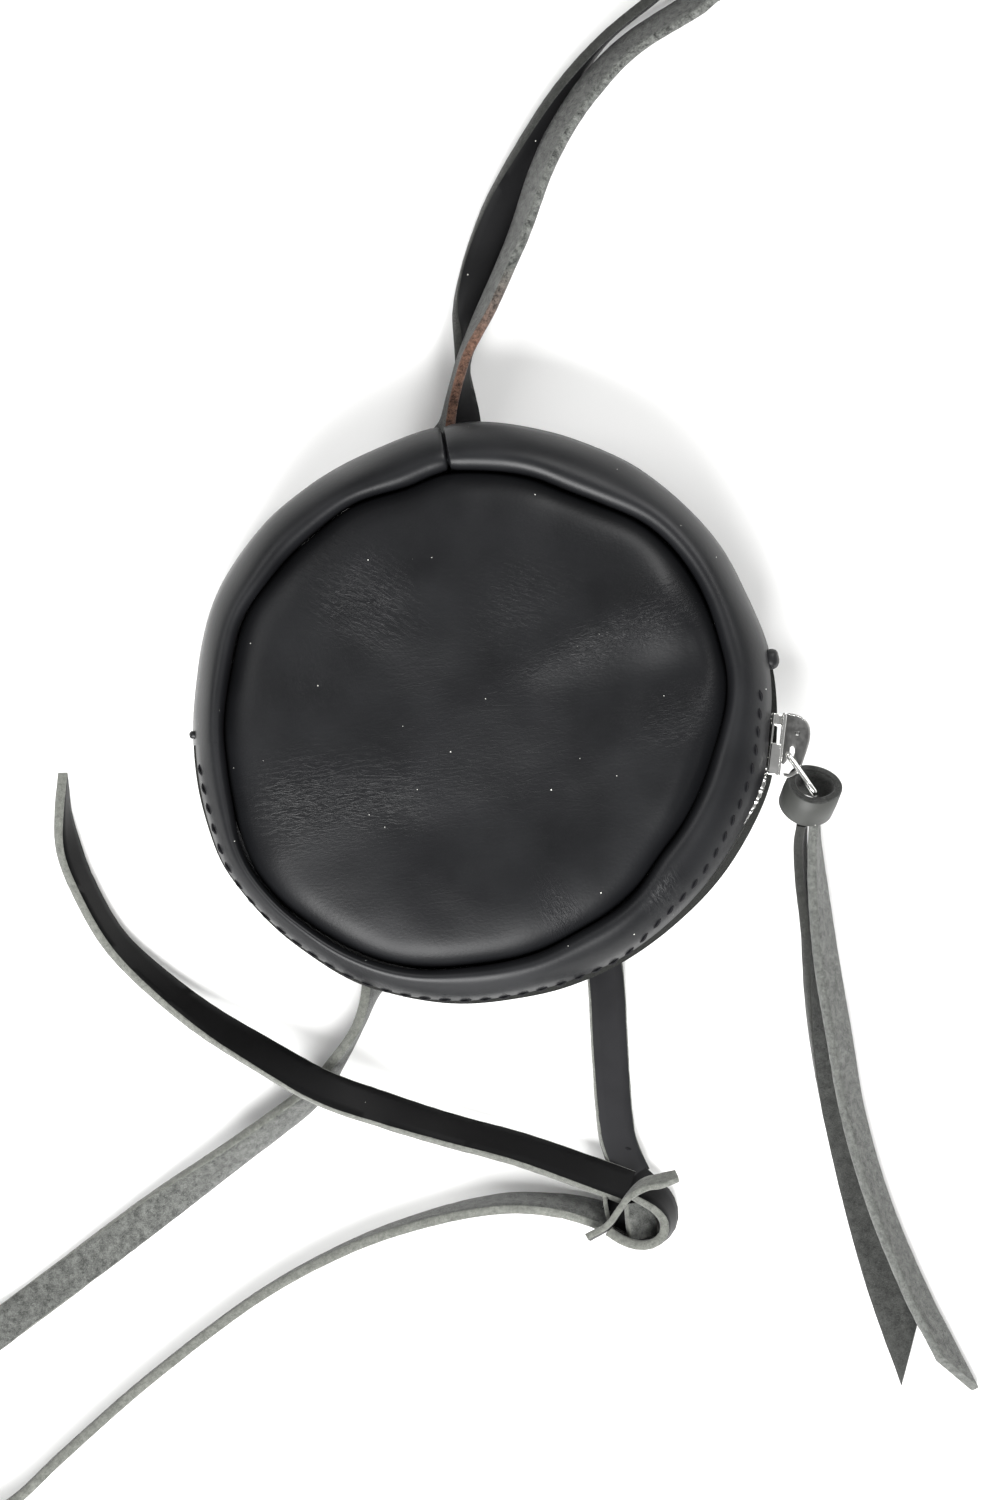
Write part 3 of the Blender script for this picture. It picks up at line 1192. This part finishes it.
def build_straps():
    """Neck strap, body strap, its tail and the short strap that ends in the eye."""
    back_again = [(x, y, z, 360 - roll) for x, y, z, roll in reversed(NECK_SMOOTH)]
    route = NECK_ROUGH + coil_stations(**NECK_COIL) + back_again
    neck, path = ribbon("neck_strap", route, ["strap_grain", "tan_edge", "neck_flesh", "dark_edge"],
                        edge_change=(NECK_HALF, 3))
    settle(neck, "shell", "strap_leather", "neck_strap_smooth", "neck_strap_rough", "neck_strap_coil")
    route = BODY_UPPER + coil_stations(**BODY_COIL) + BODY_LOWER
    body, path = ribbon("body_strap", route, STRAP_FINISHES, seed=20.0)
    settle(body, "shell", "strap_leather", "body_strap_upper", "body_strap_coil", "body_strap_lower")
    tail, path = ribbon("body_strap_tail_end", TAIL, ["tail_grain"] + STRAP_FINISHES[1:], seed=40.0, tip=3.0)
    settle(tail, "shell", "strap_leather", "body_strap_tail")
    eye, path = ribbon("short_strap", EYE_STRAP, ["worn_grain"] + STRAP_FINISHES[1:], seed=60.0)
    settle(eye, "shell", "strap_leather", "eye_strap")


def build_knot():
    """The eye of the short strap, the end that locks the knot and the stitches across the strap."""
    loop, _ = ribbon("eye_loop", EYE_LOOP, STRAP_FINISHES, seed=70.0)
    settle(loop, "shell", "strap_leather", "eye_strap_loop")

    def leaf(t):
        """Width of the thin end, as a share, from one end to the other."""
        return 0.35 + 0.65 * math.sin(math.pi * min(1.0, 0.16 + t * 0.78)) ** 0.6

    sliver, _ = ribbon("knot_sliver", KNOT_SLIVER, ["strap_grain", "strap_edge", "strap_edge"], width=4.8,
                       thickness=1.4, taper=leaf, step=0.8, seed=80.0)
    settle(sliver, "shell", "strap_leather", "knot_wrap")
    flap, _ = ribbon("knot_flap", KNOT_FLAP, STRAP_FINISHES, width=5.0, thickness=0.9, step=0.8, seed=90.0)
    settle(flap, "shell", "strap_leather")
    for name, stations, kinds in (("knot_under", KNOT_UNDER, STRAP_FINISHES),
                                  ("knot_inner", KNOT_INNER, ["strap_flesh", "strap_edge", "strap_flesh"])):
        made, _ = ribbon(name, stations, kinds, width=6.8, thickness=1.7, step=1.0, seed=95.0)
        settle(made, "shell", "strap_leather")
    parts = []
    for x, y, z in EYE_STITCHES:
        steps = np.linspace(-0.5, 0.5, 9)
        line = [(x + 2.6 * t, y - 0.5 * t, z + 0.75 * math.cos(t * math.pi)) for t in steps]
        parts.append(tube(line, sizes().thread * 0.75))
    points, faces, _ = merged(parts)
    settle(make_piece("eye_strap_stitches", points, faces, ["thread"]), "shell", "thread")


# ---------------------------------------------------------------- stage

CAMERA_DISTANCE = 3000.0
VIEW_HEIGHT = 308.8
VIEW_CENTRE = (2.8, -8.0)
SENSOR = 36.0
FLOOR_REACH_M = 6.0
FLOOR_DROP_M = 0.0002  # the floor lies this far below the purse
STUDIO_STRENGTH = 0.32
# Lights: name, place and size in metres, power in watts.
LIGHTS = [
    ("key", (-0.2, -1.1, 0.95), 1.0, 60.0),
    ("fill", (-0.95, 0.45, 0.95), 0.8, 6.0),
    ("rim", (0.7, 0.85, 1.0), 0.7, 16.0),
]


def build_stage():
    """Camera, floor and soft studio light."""
    data = bpy.data.cameras.new("camera")
    camera = add_object("camera", data)
    camera.location = (VIEW_CENTRE[0] * MM, VIEW_CENTRE[1] * MM, (CAMERA_DISTANCE + MID) * MM)
    data.sensor_width = SENSOR
    data.lens = SENSOR * CAMERA_DISTANCE / VIEW_HEIGHT
    data.clip_start, data.clip_end = 0.1, 20.0
    bpy.context.scene.camera = camera
    mesh = bpy.data.meshes.new("floor")
    reach = FLOOR_REACH_M
    corners = [(-reach, -reach), (reach, -reach), (reach, reach), (-reach, reach)]
    mesh.from_pydata([(x, y, -FLOOR_DROP_M) for x, y in corners], [], [(0, 1, 2, 3)])
    floor = add_object("floor", mesh)
    made, _, shader = start_material("stage_floor")
    shader["Base Color"].default_value = rgba(colours().floor)
    shader["Roughness"].default_value = 0.9
    mesh.materials.append(made)
    world = bpy.data.worlds.new("studio")
    world.use_nodes = True
    background = world.node_tree.nodes["Background"].inputs
    background["Color"].default_value = (1.0, 1.0, 1.0, 1.0)
    background["Strength"].default_value = STUDIO_STRENGTH
    bpy.context.scene.world = world
    for light in LIGHTS:
        add_light(*light)
    bpy.context.scene.view_settings.view_transform = "Standard"


def add_light(name, place_m, size_m, power):
    """A square light that points at the purse."""
    data = bpy.data.lights.new(name, "AREA")
    data.size = size_m
    data.energy = power
    light = add_object(name, data)
    light.location = place_m
    light.rotation_mode = "QUATERNION"
    light.rotation_quaternion = (Vector((0, 0, 0.02)) - Vector(place_m)).to_track_quat("-Z", "Y")


# ---------------------------------------------------------------- operators and panel


def operator(name, label, words, build):
    """A class for one operator that runs build."""
    def execute(self, context):
        """Builds this step's pieces."""
        build()
        return {"FINISHED"}

    spaces = {"bl_idname": "purse." + name, "bl_label": label, "__doc__": words, "execute": execute}
    return type("PURSE_OT_" + name, (bpy.types.Operator,), spaces)


STEPS = [
    ("stage", "Stage", "Makes the camera, the floor and the light", build_stage),
    ("straps", "Straps", "Makes the long straps", build_straps),
    ("thongs", "Thongs", "Makes the zip pull's two thongs", build_thongs),
    ("panels", "Panels", "Makes the front and back panels", build_panels),
    ("wall", "Wall", "Makes the side wall and the front rim", build_wall),
    ("stitches", "Stitches", "Sews both lips", build_stitches),
    ("zip", "Zip", "Makes the tapes, teeth and ends of the zip", build_zip),
    ("slider", "Slider", "Makes the slider and its crown", build_slider),
    ("pull", "Pull", "Makes the wire link and the hitch", build_pull),
    ("knot", "Knot", "Makes the eye and the knot", build_knot),
]
OPERATORS = [operator(*step) for step in STEPS]


class PURSE_PT_panel(bpy.types.Panel):
    """Sizes, colours and building steps of the purse."""

    bl_label = "Purse"
    bl_idname = "PURSE_PT_panel"
    bl_space_type = "VIEW_3D"
    bl_region_type = "UI"
    bl_category = "Purse"

    def draw(self, context):
        """Lists the settings and one button for each step."""
        for group in (context.scene.purse_sizes, context.scene.purse_colours):
            box = self.layout.box()
            for key in group.bl_rna.properties.keys():
                if key not in ("rna_type", "name"):
                    box.prop(group, key)
        for made in OPERATORS:
            self.layout.operator(made.bl_idname)


CLASSES = [PurseSizes, PurseColours, *OPERATORS, PURSE_PT_panel]


def register():
    """Adds the classes and the settings to Blender."""
    for made in CLASSES:
        bpy.utils.register_class(made)
    bpy.types.Scene.purse_sizes = bpy.props.PointerProperty(type=PurseSizes)
    bpy.types.Scene.purse_colours = bpy.props.PointerProperty(type=PurseColours)


def unregister():
    """Takes them out again."""
    del bpy.types.Scene.purse_colours
    del bpy.types.Scene.purse_sizes
    for made in reversed(CLASSES):
        bpy.utils.unregister_class(made)


def main():
    """Builds the purse step by step and writes both boxes to the size file."""
    register()
    for name, *_ in STEPS:
        getattr(bpy.ops.purse, name)()


if __name__ == "__main__":
    main()
